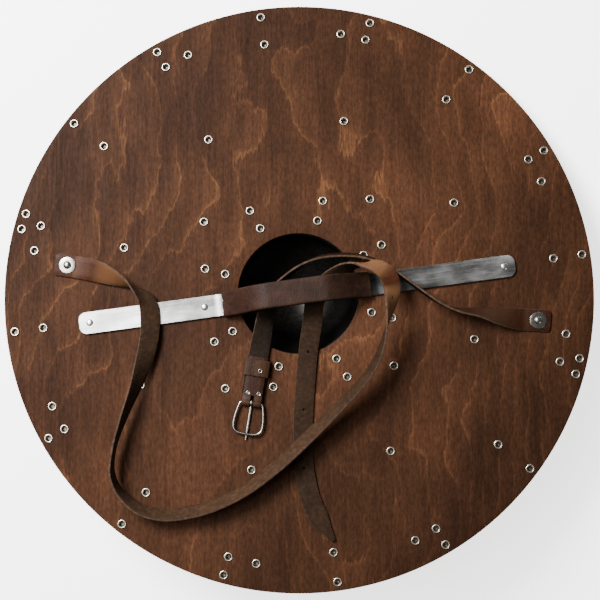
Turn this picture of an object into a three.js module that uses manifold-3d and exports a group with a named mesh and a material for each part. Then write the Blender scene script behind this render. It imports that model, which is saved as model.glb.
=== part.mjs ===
// Wooden round shield, built like the real object: a plywood disc with a hand hole, a pressed
// steel boss over it, a strap-steel grip with a leather sleeve, tubular rivets in rings,
// and a long strap and a buckle strap of flat leather. The shield lies loose, face down:
// boss and rim carry it and the hand side looks up.
//
// Board frame while building: origin at the centre of the hand hole on the hand-side face,
// x right, y up along the board, z out of the hand side. The last step tips it onto the floor.
import * as THREE from 'three';
import { mergeVertices } from 'three/addons/utils/BufferGeometryUtils.js';
import Module from 'manifold-3d';

const wasm = await Module();
wasm.setup();

// Driving dimensions, millimetres
const boardRadius = 400;
const boardThickness = 8;
const boardSides = 80;
const handHoleRadius = 82;
const fit = 0.3;

const bossFlangeRadius = handHoleRadius + 31;
const bossSheet = 1.8;
const bossNeckRadius = handHoleRadius;
const bossNeckDepth = 16;
const bossDepth = 75;
const bossFlatCut = 1.3;
const rimFlatCut = 0.4;

const barLength = 595;
const barWidth = 30;
const barThickness = 4;
const barCornerRadius = 10;
const barCentre = [-1.5, -2.2];
const barAngle = 7.48;
const archHeight = 38;
const archHalfSpan = 112;
const archRamp = 75;
const barRivetOuter = barLength / 2 - 14.5;
// The inner rivets stand clear of the arch's foot and of the boss's flange
const barRivetClear = 13;
const barRivetInner = Math.max(archHalfSpan + 1, bossFlangeRadius) + barRivetClear;
const barRivetStations = [-barRivetOuter, -barRivetInner, barRivetInner, barRivetOuter];
const wrapStart = -100;
const wrapEnd = 98;
const wrapThickness = 2;

const strapThickness = 3;
const strapWidth = 26;
const longAnchorWidth = 31;
const buckleAnchorWidth = 30;
const buckleEndWidth = 28;
const tailPoint = 34;
const tailTipWidth = 5;
const punchDiameter = 4.6;
const punchFromTip = 106;
const punchPitch = 77;
const punchCount = 6;
const washerDiameter = 22.6;
const washerThickness = 1.2;
const longAnchor = [-313.8, 39.6];
const buckleAnchor = [323, -38.7];

const wireDiameter = 3.5;
const heelCentre = [-63.1, -148.1];
const heelHeight = 5.85;
const heelDirection = [-0.161, -0.987];
const flapLength = 62;
const layerGap = 0.3;
const keeperWidth = 22;
const keeperMiddle = -47;
const keeperInner = 31;
const keeperShift = -0.4;
const keeperSheet = 2;
const keeperStep = 1.7;
const prongWidth = 3.4;
const prongThickness = 2.6;
const prongLength = 50;
const prongSlot = 5;
const prongSlotReach = 10;

const rivetShank = 3;
const rivetRing = 5.75;
const rivetRingHeight = 1.7;
const rivetHead = 6;
const rivetHeadHeight = 1.6;
const rivetSides = 6;
const solidRivetSides = 8;

// Strap routes: x, y, z of the middle of the strap, and its roll about the route in degrees.
// Roll 0 lies flat with the grain side up, 90 stands on edge, 180 lies with the flesh side up.
const longRoute = [
  [-331.1, 41.5, 2, 0], [-314.7, 39.3, 2, 0], [-301, 37, 2, 0], [-287, 34.3, 4, 6], [-269.8, 29.5, 8, 18],
  [-249.8, 22, 13, 44], [-230.9, 12.7, 16.5, 75], [-215.1, 1.7, 17.5, 115],
  [-202.6, -13.6, 14.5, 148], [-199.3, -33.8, 13, 158], [-200.1, -60.8, 15, 155],
  [-206.8, -93.1, 18, 140], [-218.6, -130.4, 21.5, 115], [-233, -170.1, 25, 100],
  [-244.3, -209.4, 26, 91], [-246.3, -242.3, 23.5, 95], [-234.8, -267.4, 19.5, 104],
  [-211.1, -287.2, 17.5, 114], [-179.4, -295.1, 17, 120], [-130.4, -288.7, 17.5, 123],
  [-77.5, -267.2, 19, 121], [-31.2, -233.9, 21, 124], [8.6, -197.8, 24.5, 126],
  [47.1, -160.5, 30, 121], [77.4, -129.9, 36.5, 114], [98.4, -102, 42, 110],
  [111, -73.3, 45, 101], [117.8, -43.2, 46, 84], [122.7, -18, 45, 54], [124.4, 4.7, 43.5, 26],
  [117.4, 21, 44, 24], [104.9, 30.2, 45, 38], [91.2, 33.6, 43, 62], [78.3, 35.5, 34.5, 92],
  [65.8, 32.4, 24, 119], [49.1, 22.2, 15.8, 142], [34.3, 8.6, 12, 158], [23.1, -10.2, 9, 170],
  [19.2, -39.7, 6.5, 175], [14.3, -70.6, 4.6, 178], [10.8, -104.2, 3, 180],
  [7.3, -151.1, 2.4, 180], [5.7, -197.7, 2.4, 180], [7.6, -237.5, 2.9, 178],
  [15.4, -274.4, 3.2, 177], [27.9, -303.4, 2.8, 178], [46.4, -331, 2.2, 180],
];
const buckleRoute = [
  [339.8, -40, 2, 0], [323.1, -38.5, 2, 0], [308, -38, 2, 0], [292, -36.6, 5, 9], [271, -33.7, 9.7, 28],
  [243.6, -28.6, 14, 56], [216.5, -26, 17, 76], [191.1, -16.7, 18.8, 85], [168.5, -1.9, 20.3, 88],
  [148.6, 13, 20.8, 88], [128.8, 28, 19.4, 85], [107.7, 40.8, 16.4, 79], [83.6, 48.6, 15.4, 75],
  [54, 50.3, 14.6, 75], [27, 46.5, 14.2, 79], [2.7, 35.4, 14.4, 88], [-16.8, 19.3, 14, 100],
  [-32.4, 0.5, 13, 116], [-42.2, -22.3, 11.3, 136], [-47.6, -51.7, 8.2, 160], [-52.6, -78.8, 5, 177],
  [-55.7, -93.6, 4.2, 180], [-58.3, -109.4, 4.2, 180], [-60.2, -121.3, 4.2, 180],
  [-62.7, -136.1, 4.2, 180],
];

// Rivet rings: radius and the angles of their rivets
const every = (start, step) => Array.from({ length: 360 / step }, (_, i) => start + i * step);
const ownRings = {
  a: [handHoleRadius + 20.7, every(30, 45)],
  b: [handHoleRadius + 49, every(30, 45)],
  c: [handHoleRadius + 80, every(52.5, 90)],
  d: [boardRadius * 0.614, every(30, 45)],
  e: [boardRadius - 64, every(52.5, 90)],
  f: [boardRadius - 11.5, every(52.5, 90)],
  h: [boardRadius - 51, every(7.5, 90)],
};
const fusedRings = {
  g: [boardRadius - 12, every(7.5, 90)],
  i: [boardRadius - 36, every(30, 45)],
  j: [boardRadius - 35, [114.5, 80.5, 24.5, -9, -65, -99, -155.5, 170.5]],
  k: [boardRadius - 11.5, [30, 75, 120, 163.4, 166.6, 210, 255, 300, -13.4, -16.6]],
};

// Shared builders
const radians = THREE.MathUtils.degToRad;
const polar = (radius, angle) => [
  radius * Math.cos(radians(angle)),
  radius * Math.sin(radians(angle)),
];

function solid(geometry) {
  const bare = geometry.clone();
  for (const name of Object.keys(bare.attributes)) {
    if (name !== 'position') bare.deleteAttribute(name);
  }
  const merged = mergeVertices(bare, 1e-4);
  const points = merged.attributes.position.array;
  const source = merged.index.array;
  const faces = [];
  let volume = 0;
  const a = new THREE.Vector3();
  const b = new THREE.Vector3();
  const c = new THREE.Vector3();
  for (let i = 0; i < source.length; i += 3) {
    const [p, q, r] = [source[i], source[i + 1], source[i + 2]];
    if (p === q || q === r || r === p) continue;
    faces.push(p, q, r);
    a.fromArray(points, 3 * p);
    b.fromArray(points, 3 * q);
    c.fromArray(points, 3 * r);
    volume += a.dot(b.cross(c));
  }
  if (volume < 0) faces.reverse();
  return new wasm.Manifold(new wasm.Mesh({
    numProp: 3,
    vertProperties: new Float32Array(points),
    triVerts: new Uint32Array(faces),
  }));
}

// Turned body about z from a profile of [radius, height] pairs
function turned(profile, sides, x = 0, y = 0) {
  const points = profile.map(([r, z]) => new THREE.Vector2(r, z));
  const geometry = new THREE.LatheGeometry(points, sides);
  geometry.rotateX(Math.PI / 2);
  geometry.translate(x, y, 0);
  return solid(geometry);
}

function cylinder(radius, low, high, x, y, sides = rivetSides) {
  return turned([[0, low], [radius, low], [radius, high], [0, high]], sides, x, y);
}

// Plate cut to an outline in the plane of two axes and run along the third, about the middle
function plate(outline, depth, placing, holes = []) {
  const shape = new THREE.Shape(outline.map(([x, y]) => new THREE.Vector2(x, y)));
  for (const hole of holes) {
    shape.holes.push(new THREE.Path(hole.map(([x, y]) => new THREE.Vector2(x, y))));
  }
  const geometry = new THREE.ExtrudeGeometry(shape, { depth, bevelEnabled: false });
  geometry.translate(0, 0, -depth / 2);
  geometry.applyMatrix4(placing);
  return solid(geometry);
}

const circle = (radius, count, from = 0, to = 360) => Array.from(
  { length: count + 1 },
  (_, i) => polar(radius, from + ((to - from) * i) / count),
);

// Flat strap bent along its route
function route(stations) {
  const line = new THREE.CatmullRomCurve3(
    stations.map(([x, y, z]) => new THREE.Vector3(x, y, z)),
    false,
    'centripetal',
  );
  line.arcLengthDivisions = 1500;
  const rolls = new THREE.SplineCurve(stations.map((row, i) => new THREE.Vector2(i, row[3])));
  const length = line.getLength();
  const up = new THREE.Vector3(0, 0, 1);
  const frameAt = (distance) => {
    const t = line.getUtoTmapping(THREE.MathUtils.clamp(distance / length, 0, 1));
    const centre = line.getPoint(t);
    const along = line.getTangent(t);
    const roll = radians(rolls.getPoint(t).y);
    const left = new THREE.Vector3().crossVectors(up, along).normalize();
    const rise = new THREE.Vector3().crossVectors(along, left);
    const across = left.multiplyScalar(Math.cos(roll)).addScaledVector(rise, Math.sin(roll));
    const out = new THREE.Vector3().crossVectors(along, across);
    return { centre, along, across, out };
  };
  return { length, frameAt };
}

function strap(path, widthAt, steps) {
  const geometry = new THREE.BoxGeometry(path.length, 1, strapThickness, steps, 1, 1);
  const position = geometry.attributes.position;
  for (let i = 0; i < position.count; i += 1) {
    const distance = position.getX(i) + path.length / 2;
    const { centre, across, out } = path.frameAt(distance);
    centre.addScaledVector(across, position.getY(i) * widthAt(distance));
    centre.addScaledVector(out, position.getZ(i));
    position.setXYZ(i, centre.x, centre.y, centre.z);
  }
  return solid(geometry);
}

function punch(path, distance) {
  const { centre, across, out, along } = path.frameAt(distance);
  const geometry = new THREE.CylinderGeometry(
    punchDiameter / 2, punchDiameter / 2, 3 * strapThickness, rivetSides,
  );
  geometry.applyMatrix4(new THREE.Matrix4().makeBasis(across, out, along).setPosition(centre));
  return solid(geometry);
}

const ramp = (value, start, startWidth, end, endWidth) => THREE.MathUtils.mapLinear(
  THREE.MathUtils.clamp(value, start, end), start, end, startWidth, endWidth,
);

// How the shield lies: the tilt at which boss and rim both reach the floor with their flats
const bossTipDepth = boardThickness + bossDepth;
const domeStart = boardThickness + bossNeckDepth;
const domeDepth = (radius, throat, start, tip) => start + (tip - start) * (1 - (radius / throat) ** 2);
const domeShares = [0, 0.195, 0.378, 0.549, 0.707, 0.841, 0.939];
const reachSteps = 800;
const bossReach = (tilt) => Math.max(...Array.from(
  { length: reachSteps },
  (_, i) => (bossNeckRadius * i) / reachSteps,
).map(
  (r) => r * Math.sin(tilt)
    + domeDepth(r, bossNeckRadius, domeStart, bossTipDepth) * Math.cos(tilt),
)) - bossFlatCut;
const rimReach = (tilt) => boardRadius * Math.sin(tilt)
  + boardThickness * Math.cos(tilt) - rimFlatCut;
let lowTilt = 0.05;
let highTilt = 0.4;
while (highTilt - lowTilt > 1e-9) {
  const middle = (lowTilt + highTilt) / 2;
  if (rimReach(middle) < bossReach(middle)) lowTilt = middle;
  else highTilt = middle;
}
const tilt = lowTilt;
const lying = new THREE.Matrix4().makeTranslation(0, 0, rimReach(tilt))
  .multiply(new THREE.Matrix4().makeRotationX(-tilt));
const standing = lying.clone().invert();

function belowFloor(height) {
  const block = 3 * boardRadius;
  const geometry = new THREE.BoxGeometry(block, block, block);
  geometry.translate(0, 0, height - block / 2);
  geometry.applyMatrix4(standing);
  return solid(geometry);
}

// Materials
const material = (colour, roughness, metalness = 0) => new THREE.MeshStandardMaterial({
  color: colour,
  roughness,
  metalness,
});
const stainedWood = material('#5e3a25', 0.5);
const blackSteel = material('#262422', 0.45, 0.9);
const brightSteel = material('#c9c8c5', 0.32, 1);
const rivetSteel = material('#8d8a84', 0.38, 1);
const strapLeather = material('#63402a', 0.62);
const wrapLeather = material('#3f2a20', 0.6);

const group = new THREE.Group();
function add(name, body, look) {
  const { numProp, vertProperties, triVerts } = body.getMesh();
  const geometry = new THREE.BufferGeometry();
  const points = new Float32Array((vertProperties.length / numProp) * 3);
  for (let i = 0; i < points.length / 3; i += 1) {
    points.set(vertProperties.subarray(i * numProp, i * numProp + 3), i * 3);
  }
  geometry.setAttribute('position', new THREE.BufferAttribute(points, 3));
  geometry.setIndex(new THREE.BufferAttribute(new Uint32Array(triVerts), 1));
  geometry.applyMatrix4(lying);
  const mesh = new THREE.Mesh(geometry, look.clone());
  mesh.name = name;
  group.add(mesh);
}

// Board: plywood disc with the hand hole and a bore for every rivet
const bore = rivetShank + fit;
const barTurn = radians(barAngle);
const onBar = (u) => [
  barCentre[0] + u * Math.cos(barTurn),
  barCentre[1] + u * Math.sin(barTurn),
];
const barRivets = barRivetStations.map(onBar);
const ownRivets = Object.entries(ownRings).flatMap(
  ([ring, [radius, angles]]) => angles.map((angle, i) => ({
    name: `rivet_${ring}_${i + 1}`,
    ring,
    at: polar(radius, angle),
  })),
);
let board = cylinder(boardRadius, -boardThickness, 0, 0, 0, boardSides);
board = board.subtract(cylinder(handHoleRadius, -20, 20, 0, 0, 64));
for (const { at } of ownRivets) {
  board = board.subtract(cylinder(bore, -20, 20, at[0], at[1]));
}
for (const [x, y] of [...barRivets, longAnchor, buckleAnchor]) {
  board = board.subtract(cylinder(bore, -20, 20, x, y, solidRivetSides));
}
const fusedSides = 6;
for (const [radius, angles] of Object.values(fusedRings)) {
  for (const angle of angles) {
    const [x, y] = polar(radius, angle);
    board = board.add(turned([
      [0, -boardThickness - rivetHeadHeight],
      [rivetHead, -boardThickness + 1],
      [0, -boardThickness + 1],
    ], fusedSides, x, y));
    board = board.add(turned([
      [0, -1],
      [rivetRing, -1],
      [rivetRing * 0.85, rivetRingHeight],
      [0, 0.6],
    ], fusedSides, x, y));
  }
}
board = board.subtract(belowFloor(0));
add('board', board, stainedWood);

// Boss: flange, short neck and a rounded bowl, one sheet thick, flattened where it rests
const bowl = (throat, start, tip) => domeShares.map((share) => [
  share * throat,
  -domeDepth(share * throat, throat, start, tip),
]);
const flangeTop = -boardThickness - fit;
const outerBowl = turned([
  ...bowl(bossNeckRadius, domeStart, bossTipDepth),
  [bossNeckRadius - 1, -domeStart - 2],
  [bossNeckRadius, -domeStart + 4],
  [bossNeckRadius, flangeTop - bossSheet - 3],
  [bossNeckRadius + 3, flangeTop - bossSheet],
  [bossFlangeRadius, flangeTop - bossSheet],
  [bossFlangeRadius, flangeTop],
  [0, flangeTop],
], 36);
const innerThroat = bossNeckRadius - bossSheet;
const innerBowl = turned([
  ...bowl(innerThroat, domeStart, bossTipDepth - bossSheet),
  [innerThroat, -domeStart + 2],
  [innerThroat, flangeTop + 1],
  [0, flangeTop + 1],
], 36);
let boss = outerBowl.subtract(belowFloor(0))
  .subtract(innerBowl.subtract(belowFloor(bossSheet)));
for (const { ring, at } of ownRivets) {
  if (ring === 'a') boss = boss.subtract(cylinder(bore, -20, 0, at[0], at[1]));
}
add('boss', boss, blackSteel);

// Tubular rivets: a domed head on the face, a rolled ring on the hand side
function tubularRivet(x, y, underHead) {
  const low = underHead - fit;
  return turned([
    [0, low - rivetHeadHeight],
    [rivetHead, low],
    [rivetShank, low],
    [rivetShank, fit],
    [rivetRing, fit],
    [rivetRing * 0.72, rivetRingHeight],
    [0, fit + 0.5],
  ], rivetSides, x, y);
}
for (const { name, ring, at } of ownRivets) {
  const under = ring === 'a' ? flangeTop - bossSheet : -boardThickness;
  add(name, tubularRivet(at[0], at[1], under), rivetSteel);
}

// Grip: flat steel bar arched over the hand hole, with a leather sleeve on the arch
const archAt = (u) => {
  const t = THREE.MathUtils.clamp((archHalfSpan - Math.abs(u)) / archRamp, 0, 1);
  return fit + barThickness / 2 + archHeight * t * t * (3 - 2 * t);
};
function archBand(start, end, thickness, steps) {
  const top = [];
  const bottom = [];
  for (let i = 0; i <= steps; i += 1) {
    const u = start + ((end - start) * i) / steps;
    const slope = Math.atan((archAt(u + 0.01) - archAt(u - 0.01)) / 0.02);
    const off = thickness / 2;
    top.push([u - off * Math.sin(slope), archAt(u) + off * Math.cos(slope)]);
    bottom.push([u + off * Math.sin(slope), archAt(u) - off * Math.cos(slope)]);
  }
  return [...bottom, ...top.reverse()];
}
const barPlacing = new THREE.Matrix4().makeTranslation(barCentre[0], barCentre[1], 0)
  .multiply(new THREE.Matrix4().makeRotationZ(barTurn));
const alongBar = barPlacing.clone().multiply(new THREE.Matrix4().makeRotationX(Math.PI / 2));
const barEnd = barLength / 2;
const sideBand = [
  ...archBand(-archHalfSpan, archHalfSpan, barThickness, 30).slice(0, 31),
  [barEnd, fit],
  [barEnd, fit + barThickness],
  ...archBand(-archHalfSpan, archHalfSpan, barThickness, 30).slice(31),
  [-barEnd, fit + barThickness],
  [-barEnd, fit],
];
const cornerArc = (sx, sy) => circle(barCornerRadius, 4, 0, 90).map(([x, y]) => [
  sx * (barEnd - barCornerRadius + x),
  sy * (barWidth / 2 - barCornerRadius + y),
]);
const barPlan = [
  ...cornerArc(1, 1),
  ...cornerArc(-1, 1).reverse(),
  ...cornerArc(-1, -1),
  ...cornerArc(1, -1).reverse(),
];
let bar = plate(sideBand, barWidth, alongBar).intersect(plate(barPlan, 200, barPlacing));
for (const [x, y] of barRivets) {
  bar = bar.subtract(cylinder(bore, -20, 20, x, y, solidRivetSides));
}
add('grip_bar', bar, brightSteel);

const sleeve = plate(
  archBand(wrapStart, wrapEnd, barThickness + 2 * (fit + wrapThickness), 28),
  barWidth + 2 * (fit + wrapThickness),
  alongBar,
).subtract(plate(
  archBand(wrapStart - 8, wrapEnd + 8, barThickness + 2 * fit, 30),
  barWidth + 2 * fit,
  alongBar,
));
add('grip_wrap', sleeve, wrapLeather);

// Solid rivets: through the bar, and through washer and strap at the two anchors
function solidRivet([x, y], seat, headRadius, headHeight) {
  const low = -boardThickness - fit;
  return turned([
    [0, low - rivetHeadHeight],
    [rivetHead, low],
    [rivetShank, low],
    [rivetShank, seat + fit],
    [headRadius, seat + fit],
    [headRadius * 0.85, seat + fit + headHeight * 0.55],
    [headRadius * 0.45, seat + fit + headHeight * 0.92],
    [0, seat + fit + headHeight],
  ], solidRivetSides, x, y);
}
barRivets.forEach((at, i) => {
  add(`bar_rivet_${i + 1}`, solidRivet(at, fit + barThickness, 4.5, 0.9), brightSteel);
});
const strapTop = 2 + strapThickness / 2;
for (const [name, [x, y]] of [['long_strap', longAnchor], ['buckle_strap', buckleAnchor]]) {
  const washer = cylinder(washerDiameter / 2, strapTop + fit, strapTop + fit + washerThickness, x, y, 24)
    .subtract(cylinder(bore, 0, 20, x, y, solidRivetSides));
  add(`${name}_washer`, washer, rivetSteel);
  const seat = strapTop + fit + washerThickness;
  add(`${name}_rivet`, solidRivet([x, y], seat, 5.5, 2.8), rivetSteel);
}

// Long strap: punched and pointed, from the left anchor round to its tail
const longPath = route(longRoute);
const longWidth = (s) => {
  if (s > longPath.length - tailPoint) {
    return ramp(s, longPath.length - tailPoint, strapWidth, longPath.length, tailTipWidth);
  }
  return ramp(s, 45, longAnchorWidth, 110, strapWidth);
};
let longStrap = strap(longPath, longWidth, 110);
for (let i = 0; i < punchCount; i += 1) {
  longStrap = longStrap.subtract(punch(longPath, longPath.length - punchFromTip - i * punchPitch));
}
longStrap = longStrap.subtract(cylinder(bore, -5, 20, longAnchor[0], longAnchor[1], solidRivetSides));
add('long_strap', longStrap, strapLeather);

// Buckle strap: from the right anchor over the bar and down to the fold round the heel bar
const heel = new THREE.Matrix4().makeBasis(
  new THREE.Vector3(heelDirection[0], heelDirection[1], 0).normalize(),
  new THREE.Vector3(-heelDirection[1], heelDirection[0], 0).normalize(),
  new THREE.Vector3(0, 0, 1),
).setPosition(heelCentre[0], heelCentre[1], heelHeight);
const acrossHeel = heel.clone().multiply(new THREE.Matrix4().makeRotationX(Math.PI / 2));
const eye = wireDiameter / 2 + 0.45;
const layerInner = layerGap / 2;
const layerOuter = layerInner + strapThickness;
const foldOutline = [
  [-14, -layerOuter],
  [-9, -layerOuter],
  ...circle(eye + strapThickness, 10, -112, 112),
  [-9, layerOuter],
  [-flapLength, layerOuter],
  [-flapLength, layerInner],
  [-7, layerInner],
  ...circle(eye, 10, 130, -130),
  [-7, -layerInner],
  [-14, -layerInner],
];
const bucklePath = route(buckleRoute);
const buckleWidth = (s) => {
  const nearFold = bucklePath.length - 60;
  if (s > nearFold) return ramp(s, nearFold, strapWidth, nearFold + 20, buckleEndWidth);
  return ramp(s, 40, buckleAnchorWidth, 90, strapWidth);
};
const slot = new THREE.BoxGeometry(prongSlotReach + 10, prongSlot, 30);
slot.translate((10 - prongSlotReach) / 2, 0, 0);
slot.applyMatrix4(heel);
let buckleStrap = strap(bucklePath, buckleWidth, 50)
  .add(plate(foldOutline, strapWidth, acrossHeel))
  .subtract(solid(slot))
  .subtract(cylinder(bore, -5, 20, buckleAnchor[0], buckleAnchor[1], solidRivetSides));

// Keeper: a leather loop whose lapped ends are riveted on top
const keeperHalf = keeperInner / 2;
const keeperIn = layerOuter + fit;
const keeperOut = keeperIn + keeperSheet;
const keeperSide = keeperHalf + keeperSheet;
const keeperPlacing = heel.clone()
  .multiply(new THREE.Matrix4().makeTranslation(keeperMiddle, keeperShift, 0))
  .multiply(new THREE.Matrix4().makeBasis(
    new THREE.Vector3(0, 1, 0),
    new THREE.Vector3(0, 0, 1),
    new THREE.Vector3(1, 0, 0),
  ));
let keeper = plate([
  [-keeperSide + 2, -keeperOut],
  [keeperSide - 2, -keeperOut],
  [keeperSide, -keeperOut + 2],
  [keeperSide, keeperOut - 1],
  [keeperSide - 2, keeperOut + keeperStep],
  [-4, keeperOut + keeperStep],
  [-4.6, keeperOut],
  [-keeperSide + 2, keeperOut],
  [-keeperSide, keeperOut - 2],
  [-keeperSide, -keeperOut + 2],
], keeperWidth, keeperPlacing, [[
  [-keeperHalf, -keeperIn],
  [-keeperHalf, keeperIn],
  [keeperHalf, keeperIn],
  [keeperHalf, -keeperIn],
]]);

// Small rivets of the keeper and of the fold
const smallShank = 1.5;
const smallHead = 3;
const inHeel = (x, y) => {
  const p = new THREE.Vector3(x, y, 0).applyMatrix4(heel);
  return [p.x, p.y];
};
const keeperRivetAt = inHeel(-44, 5.3);
const foldRivets = [inHeel(-13, -6.4), inHeel(-13, 8.2)];
for (const at of [keeperRivetAt, ...foldRivets]) {
  const hole = cylinder(smallShank + fit, 0.2, 30, at[0], at[1]);
  buckleStrap = buckleStrap.subtract(hole);
  keeper = keeper.subtract(hole);
}
add('buckle_strap', buckleStrap, strapLeather);
add('strap_keeper', keeper, strapLeather);
const keeperTop = heelHeight + keeperOut + keeperStep;
add('keeper_rivet', turned([
  [0, heelHeight - keeperOut + 0.2],
  [smallShank, heelHeight - keeperOut + 0.2],
  [smallShank, keeperTop + fit],
  [smallHead, keeperTop + fit],
  [smallHead * 0.7, keeperTop + fit + 0.9],
  [0, keeperTop + fit + 1.1],
], rivetSides, keeperRivetAt[0], keeperRivetAt[1]), rivetSteel);
const foldLow = heelHeight - layerOuter - fit;
const foldHigh = heelHeight + layerOuter + fit;
foldRivets.forEach(([x, y], i) => {
  add(`fold_rivet_${i + 1}`, turned([
    [0, foldLow - 1],
    [smallHead, foldLow - 1],
    [smallHead, foldLow],
    [smallShank, foldLow],
    [smallShank, foldHigh],
    [smallHead, foldHigh],
    [smallHead * 0.75, foldHigh + 0.9],
    [0, foldHigh + 0.4],
  ], rivetSides, x, y), rivetSteel);
});

// Buckle: round wire frame, and a flat prong hung on the heel bar under the front bar
const side = [
  [0, 0], [0, 7], [0, 12.4], [0.7, 14.3], [2.6, 15.6], [8, 17], [18, 18.9], [29, 19.6],
  [36, 18.4], [40, 14.6], [41.6, 8],
];
const wireLine = [...side, [42, 0], ...side.slice(1).reverse().map(([x, y]) => [x, -y])];
const wire = new THREE.CatmullRomCurve3(
  wireLine.map(([x, y]) => new THREE.Vector3(x, y, 0)),
  true,
  'centripetal',
);
const frame = new THREE.TubeGeometry(wire, 48, wireDiameter / 2, 6, true);
frame.applyMatrix4(heel);
add('buckle_frame', solid(frame), rivetSteel);

const prongOuter = eye + prongThickness;
const prongInner = wireDiameter / 2 + 0.35;
add('buckle_prong', plate([
  ...circle(prongOuter, 12, -90, -342).map(([x, y]) => [x, y]),
  [prongOuter, -prongOuter + prongThickness],
  [prongLength - 3, -prongOuter + prongThickness],
  [prongLength, -prongOuter + prongThickness - 0.8],
  [prongLength - 0.6, -prongOuter],
], prongWidth, acrossHeel, [circle(prongInner, 10).slice(0, 10)]), rivetSteel);

// Centre the outline over the origin, floor at zero
group.updateMatrixWorld(true);
const box = new THREE.Box3().setFromObject(group);
for (const mesh of group.children) {
  mesh.geometry.translate(
    -(box.min.x + box.max.x) / 2,
    -(box.min.y + box.max.y) / 2,
    -box.min.z,
  );
}

export default group;
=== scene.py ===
# %% [markdown]
# # A wooden round shield, lying on its face
#
# The shield is seen from the side that its bearer sees: stained plywood with a round hand hole,
# a flat steel bar across it, two straps, and seventy small rivets. It lies face down on its boss
# and on one edge of its rim, so the whole board leans a little.
#
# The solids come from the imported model. This lesson dresses them: each piece is made again with
# finer edges and folds, in the same place, and every surface gets its own finish.

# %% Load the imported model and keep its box
import math

import bmesh
import bpy
from mathutils import Matrix, Vector, kdtree, noise


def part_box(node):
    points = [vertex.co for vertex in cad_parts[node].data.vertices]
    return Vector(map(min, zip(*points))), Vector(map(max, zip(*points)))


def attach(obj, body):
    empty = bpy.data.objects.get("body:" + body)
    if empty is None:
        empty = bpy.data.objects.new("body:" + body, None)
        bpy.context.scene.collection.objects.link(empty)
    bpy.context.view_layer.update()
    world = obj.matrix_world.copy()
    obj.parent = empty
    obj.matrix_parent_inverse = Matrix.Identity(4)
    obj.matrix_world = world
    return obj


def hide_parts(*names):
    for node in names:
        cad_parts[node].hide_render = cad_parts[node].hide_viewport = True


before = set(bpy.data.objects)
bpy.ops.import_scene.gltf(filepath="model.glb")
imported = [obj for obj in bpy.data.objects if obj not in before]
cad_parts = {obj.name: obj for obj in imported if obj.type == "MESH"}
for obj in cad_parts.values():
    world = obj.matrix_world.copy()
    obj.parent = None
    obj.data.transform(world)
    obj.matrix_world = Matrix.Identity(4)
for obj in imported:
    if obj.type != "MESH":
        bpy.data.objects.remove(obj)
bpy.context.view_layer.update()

# %% [markdown]
# Everything on a shield is easiest to measure from the board itself: millimetres, with the zero
# at the middle of the hand hole, x to the right, y up the board and z out towards the hand.
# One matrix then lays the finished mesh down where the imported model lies. The lean is the one
# at which the boss and the rim both reach the floor.

# %% The board's own ruler
MM = 0.001
UP = Vector((0, 0, 1))
LEAN = math.radians(10.6319)
LIFT = 81.262
SHIFT = 0.738
LYING = (
    Matrix.Translation((0, SHIFT * MM, LIFT * MM))
    @ Matrix.Rotation(-LEAN, 4, "X")
    @ Matrix.Scale(MM, 4)
)
BOARD_RADIUS = 400
BOARD_THICKNESS = 8
HOLE_RADIUS = 82


def around(radius, degrees):
    """The point on a circle round the hand hole."""
    turn = math.radians(degrees)
    return Vector((radius * math.cos(turn), radius * math.sin(turn), 0))


rim_top = LYING @ Vector((0, BOARD_RADIUS, 0))
low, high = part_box("board")
print("board top edge, worked out and packed:", round(rim_top.z, 4), round(low.z, 4), round(high.z, 4))

# %% [markdown]
# ## The camera
#
# The photograph was taken square on with a longish lens, from a little above the middle of the
# shield. The camera's place was found by matching the rings of rivets, so it is given
# in the board's own millimetres and laid down with the same matrix.

# %% The camera
CAMERA_TURN = (-5.4, -0.82, 0.21)
CAMERA_BACK = 1600
CAMERA_ASIDE = (-2.4, 9.2)
FOCAL_PIXELS = 1179.7
PICTURE_PIXELS = 600


def in_scene(name, data):
    """A new object, linked into the scene."""
    made = bpy.data.objects.new(name, data)
    bpy.context.scene.collection.objects.link(made)
    return made


rx, ry, rz = (math.radians(a) for a in CAMERA_TURN)
looking = Matrix.Rotation(rz, 3, "Z") @ Matrix.Rotation(rx, 3, "X") @ Matrix.Rotation(ry, 3, "Y")
eye = looking.transposed() @ Vector((-CAMERA_ASIDE[0], -CAMERA_ASIDE[1], CAMERA_BACK))
camera = in_scene("camera", bpy.data.cameras.new("camera"))
bpy.context.scene.camera = camera
camera.rotation_mode = "QUATERNION"
camera.rotation_quaternion = (
    Matrix.Rotation(-LEAN, 3, "X") @ looking.transposed()
).to_quaternion()
camera.location = LYING @ eye
camera.data.sensor_width = 36
camera.data.lens = camera.data.sensor_width * FOCAL_PIXELS / PICTURE_PIXELS
print("camera at", [round(v, 3) for v in camera.location], "lens", round(camera.data.lens, 1))

# %% [markdown]
# ## The table and the light
#
# The photograph's ground is nearly white, so the table here gives a little light of its own. The
# shadows fall to the lower right and have soft edges: a wide key lamp at the upper left does
# that. The left end of the steel bar mirrors something bright, the high lamp. The far lamp is
# faint and keeps the other side from going black.

# %% The floor
FLOOR_SIZE = 8
TABLE_TONE = (0.9, 0.9, 0.895, 1)
TABLE_GLOW = (1, 1, 0.995, 1)
GLOW_STRENGTH = 2.2


def mesh_of(name, shape):
    """The shape as a mesh; this uses the shape up."""
    mesh = bpy.data.meshes.new(name)
    shape.to_mesh(mesh)
    shape.free()
    return mesh


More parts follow.
